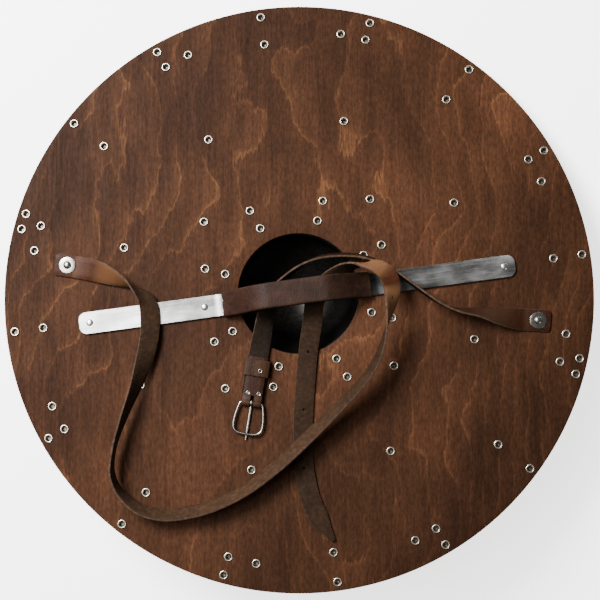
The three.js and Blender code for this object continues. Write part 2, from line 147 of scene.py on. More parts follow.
floor_shape = bmesh.new()
bmesh.ops.create_grid(floor_shape, x_segments=2, y_segments=2, size=FLOOR_SIZE / 2)
floor = in_scene("floor", mesh_of("floor", floor_shape))
paper = bpy.data.materials.new("pale paper")
paper.use_nodes = True
sockets = paper.node_tree.nodes["Principled BSDF"].inputs
sockets["Base Color"].default_value = TABLE_TONE
sockets["Roughness"].default_value = 0.9
sockets["Emission Color"].default_value = TABLE_GLOW
sockets["Emission Strength"].default_value = GLOW_STRENGTH
floor.data.materials.append(paper)
print("floor:", FLOOR_SIZE, "m across")

# %% The lamps
SKY_TONE = (1, 0.99, 0.975, 1)
SKY_STRENGTH = 0.2
LAMPS = {
    "key lamp": ((-1.25, 1.35, 1.85), 1.1, 275),
    "high lamp": ((-1.05, 0.5, 2.3), 1.2, 60),
    "far lamp": ((1.9, -1.6, 1.6), 1.4, 18),
}
for name, (place, size, watts) in LAMPS.items():
    lamp = bpy.data.lights.new(name, "AREA")
    lamp.shape = "DISK"
    lamp.size = size
    lamp.energy = watts
    holder = in_scene(name, lamp)
    holder.location = place
    holder.rotation_euler = (-Vector(place)).to_track_quat("-Z", "Y").to_euler()
sky = bpy.data.worlds.new("studio")
sky.use_nodes = True
sockets = sky.node_tree.nodes["Background"].inputs
sockets["Color"].default_value = SKY_TONE
sockets["Strength"].default_value = SKY_STRENGTH
bpy.context.scene.world = sky
print("lamps:", list(LAMPS))

# %% [markdown]
# ## Mixing finishes
#
# A finish is a small chain of nodes: where on the piece, a pattern, a colour for the pattern, and
# the same pattern again for gloss and for height. A small class holds the nodes, and its short
# calls keep each chain readable. Colours are written as they look on screen and turned into
# light values once.

# %% Helpers for finishes
def tone(code):
    """A screen colour such as #5e3824 as linear light."""
    parts = [int(code[i : i + 2], 16) / 255 for i in (1, 3, 5)]
    return [c / 12.92 if c <= 0.04045 else ((c + 0.055) / 1.055) ** 2.4 for c in parts] + [1]


class Finish:
    """One material. Its methods add nodes and hand back what they give out."""

    def __init__(self, name, **sockets):
        self.material = bpy.data.materials.new(name)
        self.material.use_nodes = True
        self.tree = self.material.node_tree
        self.shader = self.tree.nodes["Principled BSDF"]
        for key, value in sockets.items():
            self.shader.inputs[key.replace("_", " ")].default_value = value
        self.place = self.node("TexCoord").outputs["Object"]
        print("finish:", name)

    def node(self, kind, sockets=None, **settings):
        """One node with its settings, its sockets linked or set."""
        made = self.tree.nodes.new("ShaderNode" + kind)
        for key, value in settings.items():
            setattr(made, key, value)
        for key, value in (sockets or {}).items():
            if isinstance(value, bpy.types.NodeSocket):
                self.tree.links.new(value, made.inputs[key])
            else:
                made.inputs[key].default_value = value
        return made

    def ramp(self, value, stops):
        """Turns a value into a colour or a grey, by stops of place and colour."""
        made = self.node("ValToRGB", {"Fac": value})
        while len(made.color_ramp.elements) < len(stops):
            made.color_ramp.elements.new(1)
        for element, (place, colour) in zip(made.color_ramp.elements, stops):
            element.position = place
            element.color = tone(colour) if isinstance(colour, str) else (colour,) * 3 + (1,)
        return made.outputs["Color"]

    def blend(self, share, first, second, mode="MIX"):
        """Mixes two colours by a share."""
        sockets = {0: share, 6: first, 7: second}
        return self.node("Mix", sockets, data_type="RGBA", blend_type=mode).outputs[2]

    def tinted(self, share, colour, value, stops):
        """Darkens or lightens a colour by a ramp over a value."""
        return self.blend(share, colour, self.ramp(value, stops), "MULTIPLY")

    def maths(self, operation, first, second=0, third=0):
        """One line of arithmetic."""
        return self.node("Math", {0: first, 1: second, 2: third}, operation=operation).outputs[0]

    def stretched(self, place, scale):
        """A place whose three directions are stretched, for a grain."""
        return self.node("Mapping", {"Vector": place, "Scale": scale}).outputs[0]

    def on_board(self, scale):
        """The same, turned first to lie along the board."""
        level = self.node("Mapping", {"Vector": self.place, "Rotation": (LEAN, 0, 0)})
        return self.stretched(level.outputs[0], scale)

    def cloud(self, place, scale=1, detail=3, roughness=0.5, distortion=0):
        """A soft noise."""
        sockets = {"Vector": place, "Scale": scale, "Detail": detail}
        sockets |= {"Roughness": roughness, "Distortion": distortion}
        return self.node("TexNoise", sockets).outputs[0]

    def pebble(self, scale):
        """Rounded cells, like the pores of leather."""
        return self.node("TexVoronoi", {"Vector": self.place, "Scale": scale}).outputs["Distance"]

    def lie(self):
        """Where a swept point lies: how far along, how far across, and on which side."""
        kept = self.node("Attribute", attribute_name="lie").outputs["Vector"]
        return self.node("SeparateXYZ", {0: kept}).outputs

    def coat(self, colour, gloss):
        """Lays on the colour and how dull it is."""
        self.tree.links.new(colour, self.shader.inputs["Base Color"])
        self.tree.links.new(gloss, self.shader.inputs["Roughness"])

    def raise_by(self, height, strength, depth):
        """Lets a pattern catch the light as if it stood proud by depth, in metres."""
        bump = self.node("Bump", {"Height": height, "Strength": strength, "Distance": depth})
        self.tree.links.new(bump.outputs["Normal"], self.shader.inputs["Normal"])


# %% [markdown]
# ## Stained veneer
#
# The outer ply is peeled from the log, so its growth lines spread into tall flames and closed
# loops instead of straight stripes. Contour lines of a smooth, tall noise give the same figure:
# the noise plays the part of the log, and each whole step of its height is one year. The stain
# takes least where two years meet, so the lines are pale, and they show best at the upper left.
# Fine fibres and pores run up the board over them, and the stain has sunk in unevenly.

# %% The wood
# Tone along the diagonal from upper left to lower right: darker at both ends, lightest just past the
# middle.
DIAGONAL_TONES = [
    (0.1, 0.75), (0.35, 0.86), (0.6, 1.3), (0.7, 1.15), (0.77, 0.84), (0.86, 1.02), (0.95, 0.64),
]
LOG_WAVES = (((4.2, 3, 1), 8.5, 2), ((22, 13, 1), 1.3, 2), ((300, 14, 1), 0.3, 3))
LOG_TILT = -0.13
LOG_SHIFT = 0.05
LOG_STEEPNESS = 58
YEAR = [(0, 1.0), (0.03, 0.75), (0.08, 0.42), (0.3, 0.3), (0.85, 0.22), (0.98, 0.3), (1, 1.0)]
VENEER_TONES = [(0.05, "#28170d"), (0.25, "#331e12"), (0.5, "#3c2516"), (0.9, "#4b301c")]


def stained_veneer():
    """Growth lines under a stain that took unevenly; corner grows towards the lower right."""
    mix = Finish("stained veneer", Specular_IOR_Level=0.03)
    x, y, _ = mix.node("SeparateXYZ", {0: mix.on_board((1, 1, 1))}).outputs
    from_heart = mix.maths("ADD", mix.maths("MULTIPLY_ADD", y, LOG_TILT, x), LOG_SHIFT)
    log = mix.maths("MULTIPLY", mix.maths("MULTIPLY", from_heart, from_heart), LOG_STEEPNESS)
    for stretch, height, detail in LOG_WAVES:
        log = mix.maths("MULTIPLY_ADD", mix.cloud(mix.on_board(stretch), 1, detail), height, log)
    line = mix.ramp(mix.maths("FRACT", log), YEAR)
    # corner grows from the upper left to the lower right; the lines fade and the tone changes along
    # it.
    corner = mix.maths("ADD", mix.maths("MULTIPLY_ADD", y, -0.8, x), 0.5)
    clearness = mix.ramp(mix.cloud(mix.on_board((8, 6, 1))), [(0.4, 0.25), (0.6, 1.0)])
    line = mix.maths("MULTIPLY", line, clearness)
    line = mix.maths("MULTIPLY", line, mix.ramp(corner, [(0.35, 1.0), (0.75, 0.6)]))
    colour = mix.tinted(1, mix.ramp(line, VENEER_TONES), corner, DIAGONAL_TONES)
    blotches = mix.cloud(mix.on_board((30, 6, 1)), 1, 5, 0.65, 0.5)
    colour = mix.tinted(0.85, colour, blotches, [(0.34, 0.66), (0.5, 0.96), (0.68, 1.2)])
    fibres = mix.cloud(mix.on_board((260, 11, 1)), 1, 5, 0.7)
    colour = mix.tinted(0.7, colour, fibres, [(0.3, 0.72), (0.5, 0.95), (0.72, 1.35)])
    flecks = mix.cloud(mix.on_board((330, 120, 1)), 1, 3, 0.65)
    flecks = mix.ramp(flecks, [(0.35, 0.68), (0.65, 1.4)])
    colour = mix.blend(0.75, colour, flecks, "MULTIPLY")
    mix.coat(colour, mix.ramp(fibres, [(0.25, 0.66), (0.7, 0.48)]))
    mix.raise_by(mix.maths("MULTIPLY_ADD", flecks, 0.5, fibres), 0.3, 0.0006)
    return mix.material


# %% [markdown]
# The cut edge of the board shows its plies: light wood and dark glue lines, stained over. They
# follow the thickness, so this finish reads the height above the board's face.

# %% The ply edge
PLY = 1.6


def ply_edge():
    """Plies by height above the board's face, with grime over them."""
    mix = Finish("ply edge", Specular_IOR_Level=0.05)
    height = mix.node("SeparateXYZ", {0: mix.on_board((1, 1, 1))}).outputs[2]
    face_height = (LIFT * math.cos(LEAN) + SHIFT * math.sin(LEAN)) * MM
    lifted = mix.maths("ADD", height, -face_height)
    rings = mix.maths("FRACT", mix.maths("MULTIPLY", lifted, 1 / (PLY * MM)))
    plies = [(0, "#120b08"), (0.1, "#2a1a12"), (0.5, "#332116"), (0.95, "#251710")]
    grime = mix.cloud(mix.on_board((60, 60, 300)), 1, 4)
    grimy = mix.ramp(grime, [(0.3, "#170e09"), (0.7, "#3a2619")])
    colour = mix.blend(0.5, mix.ramp(rings, plies), grimy)
    mix.coat(colour, mix.ramp(grime, [(0.3, 0.5), (0.7, 0.75)]))
    mix.raise_by(grime, 0.4, 0.0005)
    return mix.material


# %% [markdown]
# ## Finishing a piece
#
# Each piece is shaped in the board's millimetres and then laid down. Its object stays
# at the world's zero, so a pattern that reads Object coordinates can't slide.

# %% From a shape to a finished piece
def finished(name, shape, finishes, nodes, body="shield", crease=38):
    """Lays a shape down, faces outwards, and gives it its finishes and its body."""
    bmesh.ops.recalc_face_normals(shape, faces=shape.faces)
    bmesh.ops.transform(shape, matrix=LYING, verts=shape.verts)
    mesh = mesh_of(name, shape)
    for finish in finishes:
        mesh.materials.append(finish)
    mesh.shade_smooth()
    mesh.set_sharp_from_angle(angle=math.radians(crease))
    made = in_scene(name, mesh)
    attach(made, body)
    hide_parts(*nodes)
    print(name, "faces:", len(mesh.polygons))
    return made


# %% Shapes that many pieces need
def turned(profile, steps, at=(0, 0)):
    """A body turned about the z axis from a profile of radius and height."""
    shape = bmesh.new()
    line = [shape.verts.new((r, 0, z)) for r, z in profile]
    edges = [shape.edges.new(pair) for pair in zip(line, line[1:])]
    bmesh.ops.spin(
        shape, geom=line + edges, cent=(0, 0, 0), axis=(0, 0, 1),
        angle=2 * math.pi, steps=steps, use_merge=True,
    )
    bmesh.ops.remove_doubles(shape, verts=shape.verts, dist=0.0005)
    bmesh.ops.translate(shape, verts=shape.verts, vec=(at[0], at[1], 0))
    return shape


def gathered(shapes):
    """Several shapes as one."""
    whole = bmesh.new()
    for shape in shapes:
        mesh = mesh_of("one of several", shape)
        whole.from_mesh(mesh)
        bpy.data.meshes.remove(mesh)
    return whole


def arc(centre, radius, start, end, count):
    """Points along an arc in the profile's plane."""
    turns = [math.radians(start + (end - start) * i / count) for i in range(count + 1)]
    return [(centre[0] + radius * math.cos(t), centre[1] + radius * math.sin(t)) for t in turns]


def bore_at(place, radius, low, high, steps=16):
    """An upright round cutter."""
    return turned([(0, low), (radius, low), (radius, high), (0, high)], steps, place)


def set_at(shape, centre, along, across, up):
    """Turns a shape so that its x, y and z follow three directions, and moves it."""
    turn = Matrix((along, across, up)).transposed().to_4x4()
    bmesh.ops.transform(shape, matrix=Matrix.Translation(centre) @ turn, verts=shape.verts)
    return shape


# %% [markdown]
# ## Cutting holes
#
# A punched or bored hole is a second shape taken out of the first. The points that such a cut
# makes don't know where on the leather they lie, and the finish needs that, so each of them asks
# its nearest neighbour.

# %% Cutting
def measured_again(mesh):
    """Gives the points that a cut made their nearest neighbours' lie and bend."""
    lie, bend = mesh.attributes["lie"].data, mesh.attributes["bend"].data
    known = [i for i, row in enumerate(lie) if row.vector.length > 0]
    neighbours = kdtree.KDTree(len(known))
    for i in known:
        neighbours.insert(mesh.vertices[i].co, i)
    neighbours.balance()
    for i in set(range(len(lie))) - set(known):
        _, near, _ = neighbours.find(mesh.vertices[i].co)
        lie[i].vector = lie[near].vector
        bend[i].value = bend[near].value


def cut(piece, cutter_shape):
    """Takes a cutter's shape, in the board's millimetres, out of a piece."""
    bmesh.ops.recalc_face_normals(cutter_shape, faces=cutter_shape.faces)
    bmesh.ops.transform(cutter_shape, matrix=LYING, verts=cutter_shape.verts)
    cutter_mesh = mesh_of("cutter", cutter_shape)
    cutter = in_scene("cutter", cutter_mesh)
    taking = piece.modifiers.new("cut", "BOOLEAN")
    taking.operation = "DIFFERENCE"
    taking.solver = "EXACT"
    taking.object = cutter
    graph = bpy.context.evaluated_depsgraph_get()
    result = bpy.data.meshes.new_from_object(piece.evaluated_get(graph))
    piece.modifiers.remove(taking)
    old, piece.data = piece.data, result
    bpy.data.meshes.remove(old)
    bpy.data.objects.remove(cutter)
    bpy.data.meshes.remove(cutter_mesh)
    if "lie" in piece.data.attributes:
        measured_again(piece.data)
    print(piece.name, "faces after cutting:", len(piece.data.polygons))


# %% [markdown]
# ## The rivets' places
#
# Seventy tubular rivets sit in rings round the hand hole. Most rings repeat every 45 or 90
# degrees, so a radius and a start angle are enough; one outer ring is uneven.

# %% Rings of rivets
def every(start, step):
    """Angles once round, in equal steps."""
    return [start + step * i for i in range(360 // step)]


RINGS = {
    "a": (102.7, every(30, 45)),
    "b": (131, every(30, 45)),
    "c": (162, every(52.5, 90)),
    "d": (245.6, every(30, 45)),
    "e": (336, every(52.5, 90)),
    "f": (388.5, every(52.5, 90)),
    "g": (388, every(7.5, 90)),
    "h": (349, every(7.5, 90)),
    "i": (364, every(30, 45)),
    "j": (365, [114.5, 80.5, 24.5, -9, -65, -99, -155.5, 170.5]),
    "k": (388.5, [30, 75, 120, 163.4, 166.6, 210, 255, 300, -13.4, -16.6]),
}
rivet_places = [
    (ring, around(radius, angle)) for ring, (radius, angles) in RINGS.items() for angle in angles
]
print("rivets:", len(rivet_places))

# %% [markdown]
# ## The board
#
# A ring-shaped profile spun once round gives the disc and its hand hole, with the edges eased
# as sandpaper leaves them. The rivets' mouths are open, so each gets a real hole in the board.
# Where the rim rests on the floor the corner is worn flat.

# %% The board
RIM_EASE = 0.9
HOLE_EASE = 0.7
MOUTH_RADIUS = 3.6
MOUTH_DEPTH = 6.5
FACE_RINGS = [150, 250, 350, 392]

edge_profile = (
    [(HOLE_RADIUS + 14, 0)]
    + arc((HOLE_RADIUS + HOLE_EASE, -HOLE_EASE), HOLE_EASE, 90, 180, 4)
    + arc((HOLE_RADIUS + HOLE_EASE, -BOARD_THICKNESS + HOLE_EASE), HOLE_EASE, 180, 270, 4)
    + [(HOLE_RADIUS + 14, -BOARD_THICKNESS)]
    + [(r, -BOARD_THICKNESS) for r in FACE_RINGS]
    + arc((BOARD_RADIUS - RIM_EASE, -BOARD_THICKNESS + RIM_EASE), RIM_EASE, -90, 0, 4)
    + arc((BOARD_RADIUS - RIM_EASE, -RIM_EASE), RIM_EASE, 0, 90, 4)
    + [(r, 0) for r in reversed(FACE_RINGS)]
)
edge_profile.append(edge_profile[0])
board_shape = turned(edge_profile, 192)
board_shape.normal_update()
for face in board_shape.faces:
    face.material_index = 0 if abs(face.normal.z) > 0.8 else 1
wood_finishes = [stained_veneer(), ply_edge()]
board = finished("shield_board", board_shape, wood_finishes, ["board"])

cut(board, gathered(
    bore_at(place, MOUTH_RADIUS, -MOUTH_DEPTH, 3, steps=12) for ring, place in rivet_places
))
for vertex in board.data.vertices:
    vertex.co.z = max(vertex.co.z, 0)
board.data.shade_smooth()
board.data.set_sharp_from_angle(angle=math.radians(30))

# %% [markdown]
# ## Steel
#
# The bar is bare steel brushed along its length, with greyer patches of handling; along its
# length its tone is painted reflection, light near the left end and darker across the middle and
# right.
# Brushing is a noise stretched along the metal, and it changes the gloss more than the colour.
# The rivets are plated: pale on the board, bright on the bar, and dull at the buckle and under
# the strap ends. Down in its mouth a rivet is dark: painted shade. The boss is near-black:
# painted shade for its deep bowl.

# %% The bar's steel
BAR_TURN = math.radians(7.48)
BAR_CENTRE = Vector((-1.5, -2.2, 0))
# Painted reflection along the bar: light near its left end, darker across the middle and right.
PAINTED_BAR_REFLECTION = [(0.15, 1.1), (0.28, 0.55), (0.36, 0.8), (0.66, 0.34), (0.84, 0.42), (0.95, 0.85)]


def brushed_bar():
    """Bare steel; along turns the pattern to the bar's own direction."""
    mix = Finish("brushed bar", Metallic=1)
    along = mix.node("Mapping", {"Vector": mix.place, "Rotation": (0, 0, -BAR_TURN)}).outputs[0]
    brushing = mix.cloud(mix.stretched(along, (14, 900, 60)), 1, 4, 0.7)
    handling = mix.cloud(mix.stretched(along, (17, 38, 22)), 1, 5, 0.6)
    scratches = mix.cloud(mix.stretched(along, (40, 420, 60)), 1, 2, 0.5, 1.5)
    scratches = mix.ramp(scratches, [(0.62, 0.0), (0.68, 1.0)])
    colour = mix.ramp(handling, [(0.34, "#676665"), (0.5, "#8a8988"), (0.64, "#acabaa")])
    colour = mix.blend(0.3, colour, mix.ramp(brushing, [(0.3, "#757472"), (0.7, "#c4c3c1")]))
    # The tone along the bar is painted reflection.
    reach = mix.node("SeparateXYZ", {0: along}).outputs[0]
    colour = mix.tinted(1, colour, mix.maths("MULTIPLY_ADD", reach, 1.6, 0.5), PAINTED_BAR_REFLECTION)
    gloss = mix.ramp(brushing, [(0.25, 0.22), (0.75, 0.4)])
    mix.coat(colour, mix.blend(0.5, gloss, mix.ramp(handling, [(0.3, 0.16), (0.7, 0.5)])))
    fine = mix.maths("MULTIPLY_ADD", scratches, -0.4, brushing)
    dents = mix.cloud(along, 13, 2)
    mix.raise_by(mix.maths("MULTIPLY_ADD", dents, 180, fine), 0.3, 0.00005)
    return mix.material


# %% The steels of the rivets and the boss
def rivet_steel(name, dark, light, roughest):
    """Plated steel between two tones; the worn places are smoother."""
    mix = Finish(name, Metallic=1)
    wear = mix.cloud(mix.place, 170, 2)
    colour = mix.ramp(wear, [(0.35, dark), (0.65, light)])
    mix.coat(colour, mix.ramp(wear, [(0.3, roughest), (0.7, roughest * 0.6)]))
    mix.raise_by(wear, 0.06, 0.0002)
    return mix.material


def shaded_rivet_mouth():
    """The dark inside of a rivet's mouth: painted shade, with a mottle."""
    mix = Finish("rivet mouth painted shade", Metallic=0.9)
    mouth_mottle = mix.cloud(mix.place, 500)
    colour = mix.ramp(mouth_mottle, [(0.35, "#2b2622"), (0.6, "#6d655b")])
    mix.coat(colour, mix.ramp(mouth_mottle, [(0.3, 0.55), (0.7, 0.3)]))
    return mix.material


def shaded_boss_steel():
    """Near-black steel, which is painted shade for the deep bowl, with a fine tooth."""
    mix = Finish("boss steel with painted shade", Metallic=0.9)
    scale = mix.cloud(mix.place, 28, 5, 0.6)
    fine = mix.cloud(mix.place, 260)
    colour = mix.ramp(scale, [(0.3, "#0e0d0c"), (0.55, "#191715"), (0.75, "#24211e")])
    mix.coat(colour, mix.ramp(fine, [(0.3, 0.6), (0.7, 0.38)]))
    mix.raise_by(fine, 0.2, 0.0004)
    return mix.material


rivet_finish = rivet_steel("rivet steel", "#a09889", "#cfc7b6", 0.42)
bright_rivet = rivet_steel("bright rivet steel", "#8f8d89", "#cbc9c4", 0.34)
dull_steel = rivet_steel("dull plated steel", "#6a6762", "#85817b", 0.34)
mouth_shade_finish = shaded_rivet_mouth()

# %% [markdown]
# ## The boss
#
# A boss is beaten or spun from one sheet, so its wall is even and its inside follows its outside.
# One profile runs down the outside, round the flange's edge and back up the inside. It is flat
# where it rests: the bowl is pressed in a little there, on both sides of the sheet.

# %% The boss
SHEET = 1.8
FLANGE_RADIUS = 113
NECK_END = BOARD_THICKNESS + 16
BOSS_TIP = BOARD_THICKNESS + 75
FLANGE_BACK = -BOARD_THICKNESS - 0.3


def bowl(throat, tip, count=26):
    """The bowl's profile from its middle out to the throat."""
    share = [i / count for i in range(count + 1)]
    return [(throat * s, -(NECK_END + (tip - NECK_END) * (1 - s * s))) for s in share]


outer = bowl(HOLE_RADIUS, BOSS_TIP)
inner = bowl(HOLE_RADIUS - SHEET, BOSS_TIP - SHEET)
boss_profile = (
    outer
    + [(HOLE_RADIUS, -NECK_END + 6), (HOLE_RADIUS, FLANGE_BACK - SHEET - 2.4)]
    + arc((HOLE_RADIUS + 2.4, FLANGE_BACK - SHEET - 2.4), 2.4, 180, 90, 4)
    + [(FLANGE_RADIUS - 0.6, FLANGE_BACK - SHEET)]
    + arc((FLANGE_RADIUS - SHEET / 2, FLANGE_BACK - SHEET / 2), SHEET / 2, -90, 90, 6)
    + arc((HOLE_RADIUS + 1.2, FLANGE_BACK - 3), 3, 90, 180, 4)
    + [(HOLE_RADIUS - SHEET, -NECK_END + 6)]
    + inner[::-1]
)
boss_shape = turned(boss_profile, 128)
# The boss is near-black: painted shade for the deep bowl seen through the hand hole.
boss = finished("shield_boss", boss_shape, [shaded_boss_steel()], ["boss"])
for vertex in boss.data.vertices:
    hand_side = vertex.normal.z > 0
    vertex.co.z = max(vertex.co.z, SHEET * MM if hand_side else 0)
print("boss lowest point:", min(v.co.z for v in boss.data.vertices))

# %% [markdown]
# ## Sweeping a section along a path
#
# The bar, the sleeve, the straps, the wire and the prong are all one section carried along a
# path, each with its own turn at every step. The section starts as one ring of edges; the ring is
# extruded again and again, and each new ring is put in its place. Every point remembers where it
# is: how far along, how far across, and on which side. The finishes read that later.

# %% The sweep
TIGHT_BEND = 35


def swept(stations, section_at, shape=None, ring=False):
    """stations: (distance, centre, across, out). section_at(distance): (across, out, side) rows."""
    shape = shape or bmesh.new()
    layers = shape.verts.layers
    lie = layers.float_vector.get("lie") or layers.float_vector.new("lie")
    bend = layers.float.get("bend") or layers.float.new("bend")
    bends = {}
    for before, here, after in zip(stations, stations[1:], stations[2:]):
        length = (after[1] - before[1]).length
        bends[here[0]] = TIGHT_BEND * before[3].angle(after[3], 0) / max(length, 1)

    def put(vertices, station):
        distance, centre, across, out = station
        for vertex, (v, g, side) in zip(vertices, section_at(distance)):
            vertex.co = centre + across * v + out * g
            vertex[lie] = (distance * MM, v * MM, side)
            vertex[bend] = bends.get(distance, 0)

    def ring_of(vertices):
        pairs = zip(vertices, vertices[1:] + vertices[:1])
        return [shape.edges.get(pair) or shape.edges.new(pair) for pair in pairs]

    first = vertices = [shape.verts.new() for _ in section_at(stations[0][0])]
    put(first, stations[0])
    edges = ring_of(first)
    for station in stations[1:]:
        made = bmesh.ops.extrude_edge_only(shape, edges=edges)
        fresh = [e for e in made["geom"] if isinstance(e, bmesh.types.BMVert)]
        partner = {edge.other_vert(v): v for v in fresh for edge in v.link_edges}
        vertices = [partner[v] for v in vertices]
        put(vertices, station)
        edges = ring_of(vertices)
    if ring:
        bmesh.ops.bridge_loops(shape, edges=edges + ring_of(first))
    else:
        for end in (ring_of(first), edges):
            bmesh.ops.contextual_create(shape, geom=end)
    return shape


def stations_along(spots, across, marks):
    """Stations at given spots; each looks from the spot before it to the spot after it."""
    stations = []
    for i, (mark, spot) in enumerate(zip(marks, spots)):
        along = (spots[min(i + 1, len(spots) - 1)] - spots[max(i - 1, 0)]).normalized()
        stations.append((mark, spot, across, along.cross(across)))
    return stations


# %% [markdown]
# ## How a strap lies
#
# A leather strap bends easily on its flat and hardly at all on its edge, so it turns a corner by
# standing up and twisting. Each route is a short list of places: x, y and z of the
# strap's middle, and its roll. Roll 0 lies flat with the grain up, 90 stands on edge and 180
# lies with the flesh side up. One smooth curve runs through them.

# %% The routes of the two straps
LONG_ROUTE = [
    (-331.1, 41.5, 2, 0), (-314.7, 39.3, 2, 0), (-301, 37, 2, 0), (-287, 34.3, 4, 6),
    (-269.8, 29.5, 8, 18), (-249.8, 22, 13, 44), (-230.9, 12.7, 16.5, 75),
    (-215.1, 1.7, 17.5, 115), (-202.6, -13.6, 14.5, 148), (-199.3, -33.8, 13, 158),
    (-200.1, -60.8, 15, 155), (-206.8, -93.1, 18, 140), (-218.6, -130.4, 21.5, 115),
    (-233, -170.1, 25, 100), (-244.3, -209.4, 26, 91), (-246.3, -242.3, 23.5, 95),
    (-234.8, -267.4, 19.5, 104), (-211.1, -287.2, 17.5, 114), (-179.4, -295.1, 17, 120),
    (-130.4, -288.7, 17.5, 123), (-77.5, -267.2, 19, 121), (-31.2, -233.9, 21, 124),
    (8.6, -197.8, 24.5, 126), (47.1, -160.5, 30, 121), (77.4, -129.9, 36.5, 114),
    (98.4, -102, 42, 110), (111, -73.3, 45, 101), (117.8, -43.2, 46, 84), (122.7, -18, 45, 54),
    (124.4, 4.7, 43.5, 26), (117.4, 21, 44, 24), (104.9, 30.2, 45, 38), (91.2, 33.6, 43, 62),
    (78.3, 35.5, 34.5, 92), (65.8, 32.4, 24, 119), (49.1, 22.2, 15.8, 142),
    (34.3, 8.6, 12, 158), (23.1, -10.2, 9, 170), (19.2, -39.7, 6.5, 175),
    (14.3, -70.6, 4.6, 178), (10.8, -104.2, 3, 180), (7.3, -151.1, 2.4, 180),
    (5.7, -197.7, 2.4, 180), (7.6, -237.5, 2.9, 178), (15.4, -274.4, 3.2, 177),
    (27.9, -303.4, 2.8, 178), (46.4, -331, 2.2, 180),
]
BUCKLE_ROUTE = [
    (339.8, -40, 2, 0), (323.1, -38.5, 2, 0), (308, -38, 2, 0), (292, -36.6, 5, 9),
    (271, -33.7, 9.7, 28), (243.6, -28.6, 14, 56), (216.5, -26, 17, 76),
    (191.1, -16.7, 18.8, 85), (168.5, -1.9, 20.3, 88), (148.6, 13, 20.8, 88),
    (128.8, 28, 19.4, 85), (107.7, 40.8, 16.4, 79), (83.6, 48.6, 15.4, 75),
    (54, 50.3, 14.6, 75), (27, 46.5, 14.2, 79), (2.7, 35.4, 14.4, 88), (-16.8, 19.3, 14, 100),
    (-32.4, 0.5, 13, 116), (-42.2, -22.3, 11.3, 136), (-47.6, -51.7, 8.2, 160),
    (-52.6, -78.8, 5, 177), (-55.7, -93.6, 4.2, 180), (-58.3, -109.4, 4.2, 180),
    (-60.2, -121.3, 4.2, 180), (-62.7, -136.1, 4.2, 180),
]
print("places by hand:", len(LONG_ROUTE), "and", len(BUCKLE_ROUTE))


# %% A smooth route
def between(before, start, end, after, share):
    """A point on the smooth curve from start to end, whose speed suits uneven spacing."""
    knots = [0.0]
    for a, b in ((before, start), (start, end), (end, after)):
        knots.append(knots[-1] + max((b - a).length, 1e-6) ** 0.5)
    t = knots[1] + (knots[2] - knots[1]) * share

    def mix(a, b, i, j):
        part = (t - knots[i]) / (knots[j] - knots[i])
        return a * (1 - part) + b * part

    a1, a2, a3 = mix(before, start, 0, 1), mix(start, end, 1, 2), mix(end, after, 2, 3)
    return mix(mix(a1, a2, 0, 2), mix(a2, a3, 1, 3), 1, 2)


def roll_between(r0, r1, r2, r3, t):
    """The same for the roll, which is evenly spaced."""
    return 0.5 * (
        2 * r1 + (r2 - r0) * t
        + (2 * r0 - 5 * r1 + 4 * r2 - r3) * t ** 2
        + (3 * r1 - r0 - 3 * r2 + r3) * t ** 3
    )


# %% Even stations along it
def strap_stations(route, step, fine=24):
    """Even stations along a route: distance, centre, across, out."""
    places = [Vector(row[:3]) for row in route]
    rolls = [row[3] for row in route]
    places = [2 * places[0] - places[1], *places, 2 * places[-1] - places[-2]]
    rolls = [rolls[0], *rolls, rolls[-1]]
    line = []
    for i in range(1, len(places) - 2):
        for k in range(fine):
            line.append((
                between(*places[i - 1 : i + 3], k / fine),
                roll_between(*rolls[i - 1 : i + 3], k / fine),
            ))
    line.append((places[-2], rolls[-1]))
    reach = [0.0]
    for (a, _), (b, _) in zip(line, line[1:]):
        reach.append(reach[-1] + (b - a).length)
    total = reach[-1]
    count = round(total / step)
    stations, i = [], 0
    for n in range(count + 1):
        distance = total * n / count
        while i < len(reach) - 2 and reach[i + 1] < distance:
            i += 1
        share = (distance - reach[i]) / (reach[i + 1] - reach[i])
        centre = line[i][0].lerp(line[i + 1][0], share)
        roll = math.radians(line[i][1] + (line[i + 1][1] - line[i][1]) * share)
        back, ahead = line[max(i - 1, 0)][0], line[min(i + 2, len(line) - 1)][0]
        along = (ahead - back).normalized()
        left = UP.cross(along).normalized()
        rise = along.cross(left)
        across = left * math.cos(roll) + rise * math.sin(roll)
        stations.append((distance, centre, across, along.cross(across)))
    return stations, total


long_stations, long_length = strap_stations(LONG_ROUTE, 3)
buckle_stations, buckle_length = strap_stations(BUCKLE_ROUTE, 3)
print("long strap", round(long_length), "mm, buckle strap", round(buckle_length), "mm to its fold")

# %% [markdown]
# ## Strap leather
#
# Belt leather has two faces. The grain side is dyed, smooth and slightly glossy, with fine pores;
# where it is pulled round a tight bend the dye opens and it goes tan. The flesh side is rougher,
# greyer and mottled, and it is painted lighter in some stretches along the strap and darker in
# others: painted light and shade. The buckle strap and its keeper get a darker copy of the
# leather, painted shade. The finish picks between the two and the raw cut edge by the side that
# every point remembers.

# %% The strap leather
# Painted light and shade on the flesh side, by distance along the strap in metres.
FLESH_LIGHT_AND_SHADE = [(0.33, 1.0), (0.42, 1.45), (0.7, 1.4), (0.9, 0.78)]


